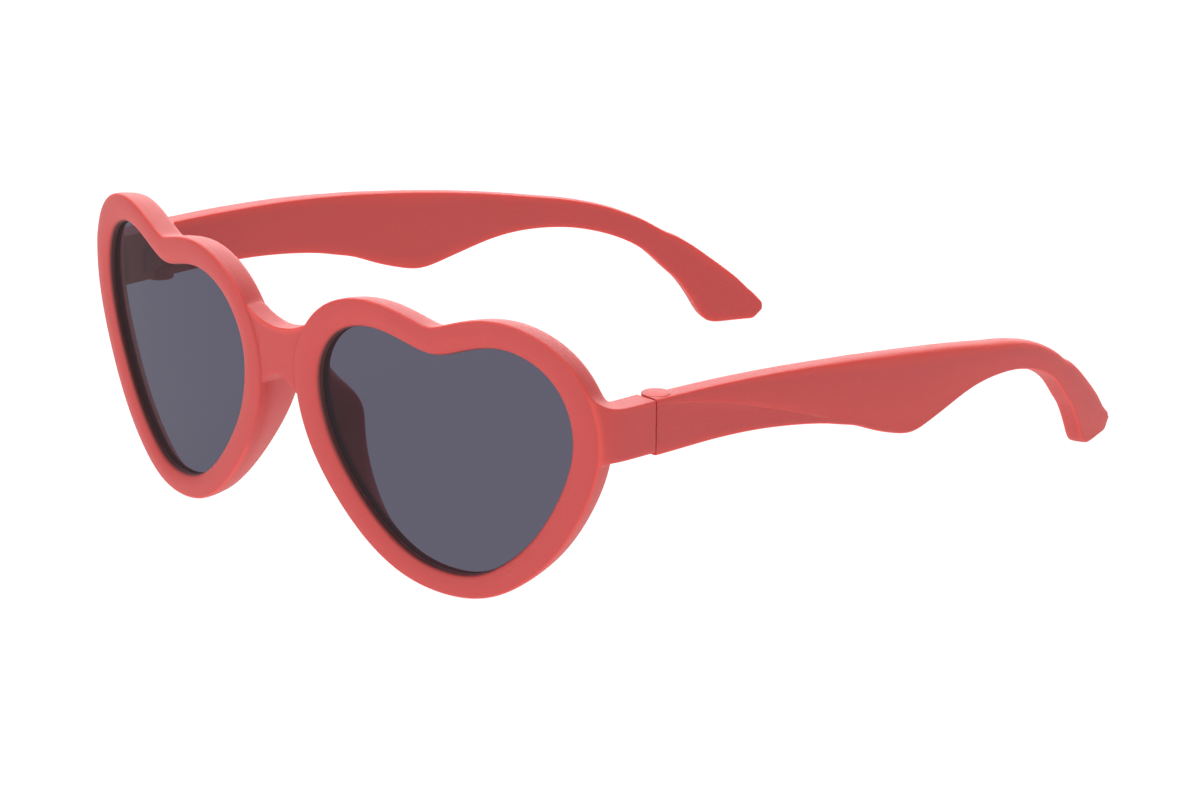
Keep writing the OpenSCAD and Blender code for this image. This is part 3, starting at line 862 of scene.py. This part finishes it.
def mouldedMaterial(name, look):
    material, tree, shader = newMaterial(name)
    grain = grainNode(tree, look, shader)
    tint = placeGroup(tree, mouldTint, {
        "Colour": (*look["colour"], 1), "Painted Highlight Colour": (*look["paintedHighlightColour"], 1),
        "Clouding": look["clouding"]})
    tree.links.new(grain.outputs["Cloud"], tint.inputs["Cloud"])
    # painted highlight and painted shade from the mesh's layers
    tree.links.new(attributeValue(tree, "edgeShare"), tint.inputs["Painted Highlight"])
    tree.links.new(attributeValue(tree, "paintedWallShade"), tint.inputs["Painted Shade"])
    if look["partLine"]:
        line = tree.nodes.new("ShaderNodeMapRange")
        line.interpolation_type = "SMOOTHSTEP"
        line.inputs["From Min"].default_value = 0.02
        line.inputs["From Max"].default_value = 0.12
        line.inputs["To Min"].default_value = look["partLine"]
        line.inputs["To Max"].default_value = 0
        tree.links.new(mathNode(tree, "ABSOLUTE", attributeValue(tree, "partGap")), line.inputs["Value"])
        tree.links.new(line.outputs["Result"], tint.inputs["Line"])
    tree.links.new(tint.outputs["Colour"], shader["Base Color"])
    shader["Subsurface Weight"].default_value = look["glow"]
    shader["Subsurface Radius"].default_value = look["glowReach"]
    shader["Subsurface Scale"].default_value = look["glowScale"]
    shader["IOR"].default_value = 1.5
    shader["Specular IOR Level"].default_value = look["gloss"]
    shader["Sheen Weight"].default_value = look["sheen"]
    shader["Sheen Roughness"].default_value = 0.5
    return material


def lensMaterial():
    # smoke grey plate with hardly any mirror image, and a faint emission as a painted veil of reflected light
    material, tree, shader = newMaterial("smokeLens")
    shader["Base Color"].default_value = (*smoke["tint"], 1)
    shader["Roughness"].default_value = 0.0
    shader["IOR"].default_value = smoke["ior"]
    shader["Transmission Weight"].default_value = 1.0
    # painted veil of reflected light, as a faint glow
    shader["Emission Color"].default_value = (*smoke["paintedVeilColour"], 1)
    shader["Emission Strength"].default_value = smoke["paintedVeil"]
    return material


def pinMaterial():
    material, tree, shader = newMaterial("pinSteel")
    grainNode(tree, steel, shader)
    shader["Base Color"].default_value = (*steel["colour"], 1)
    shader["Metallic"].default_value = 1.0
    return material


def wear(piece, material):
    piece.data.materials.clear()
    piece.data.materials.append(material)


wear(buildFront(), mouldedMaterial("coralFront", coral))
armMaterial = mouldedMaterial("coralTemple", armCoral)
glass = lensMaterial()
for side in (1, -1):
    wear(buildTemple(side), armMaterial)
for side in (1, -1):
    wear(buildLens(side), glass)
pinFinish = pinMaterial()
for node in ("left_hinge_pin", "right_hinge_pin"):
    wear(frame["nodes"][node], pinFinish)
print("pieces and materials made")

# Stage, light and camera
studio = {
    "floorWide": 4.0, "floorColour": (0.08, 0.08, 0.08), "floorGlow": 1.0, "floorDrop": 0.05,
    "world": 0.2, "aim": (0, 0, 0.02),
    # name, place, width and height in metres, and power in watts
    "boxes": [("backBox", (-0.74, 0.67, 0.42), (1.6, 0.8), 11.0),
              ("lowBackBox", (-0.9, 0.82, 0.13), (1.5, 0.22), 1.8),
              ("topBox", (-0.3, 0.4, 1.0), (1.2, 1.2), 12.0),
              ("frontBox", (-0.1, -1.1, 0.5), (1.0, 0.8), 6.0),
              ("rightBox", (1.1, 0.1, 0.5), (1.0, 0.8), 3.0)],
}
# the photograph's view: its direction, and its distance from the target in millimetres
view = {"azimuth": 47.576, "elevation": 18.016, "roll": 0.385, "distance": 1149.9,
        "target": (33.33, 36.84, 25.09), "focal": 222.97, "sensor": 36.0}


def buildStage():
    bm = bmesh.new()
    bmesh.ops.create_grid(bm, x_segments=1, y_segments=1, size=studio["floorWide"] / 2)
    floor = addPiece(bm, "floor")
    floor.location.z = -studio["floorDrop"] * mm
    material, tree, shader = newMaterial("paleFloor")
    shader["Base Color"].default_value = (*studio["floorColour"], 1)
    shader["Roughness"].default_value = 0.9
    shader["Specular IOR Level"].default_value = 0.1
    shader["Emission Color"].default_value = (1, 1, 1, 1)
    shader["Emission Strength"].default_value = studio["floorGlow"]
    wear(floor, material)


def buildLight():
    world = bpy.data.worlds.new("studio")
    world.use_nodes = True
    background = world.node_tree.nodes["Background"].inputs
    background["Color"].default_value = (1, 1, 1, 1)
    background["Strength"].default_value = studio["world"]
    scene.world = world
    for name, at, size, power in studio["boxes"]:
        light = bpy.data.lights.new(name, "AREA")
        light.shape = "RECTANGLE"
        light.size, light.size_y = size
        light.energy = power
        lamp = bpy.data.objects.new(name, light)
        scene.collection.objects.link(lamp)
        lamp.location = at
        lamp.rotation_euler = (Vector(studio["aim"]) - Vector(at)).to_track_quat("-Z", "Y").to_euler()


def buildCamera():
    azimuth, elevation = math.radians(view["azimuth"]), math.radians(view["elevation"])
    back = Vector((math.sin(azimuth) * math.cos(elevation), -math.cos(azimuth) * math.cos(elevation),
                   math.sin(elevation)))
    level = Vector((0, 0, 1)).cross(back).normalized()
    raised = back.cross(level)
    turn = math.radians(view["roll"])
    right = level * math.cos(turn) + raised * math.sin(turn)
    up = raised * math.cos(turn) - level * math.sin(turn)
    data = bpy.data.cameras.new("camera")
    data.lens, data.sensor_width = view["focal"], view["sensor"]
    data.clip_start, data.clip_end = 0.05, 20
    camera = bpy.data.objects.new("camera", data)
    scene.collection.objects.link(camera)
    camera.matrix_world = Matrix((right, up, back)).transposed().to_4x4()
    camera.location = place(*view["target"]) + back * view["distance"] * mm
    scene.camera = camera


buildStage()
buildLight()
buildCamera()
scene.view_settings.view_transform = "Standard"
scene.view_settings.look = "None"
print("stage, light and camera set")
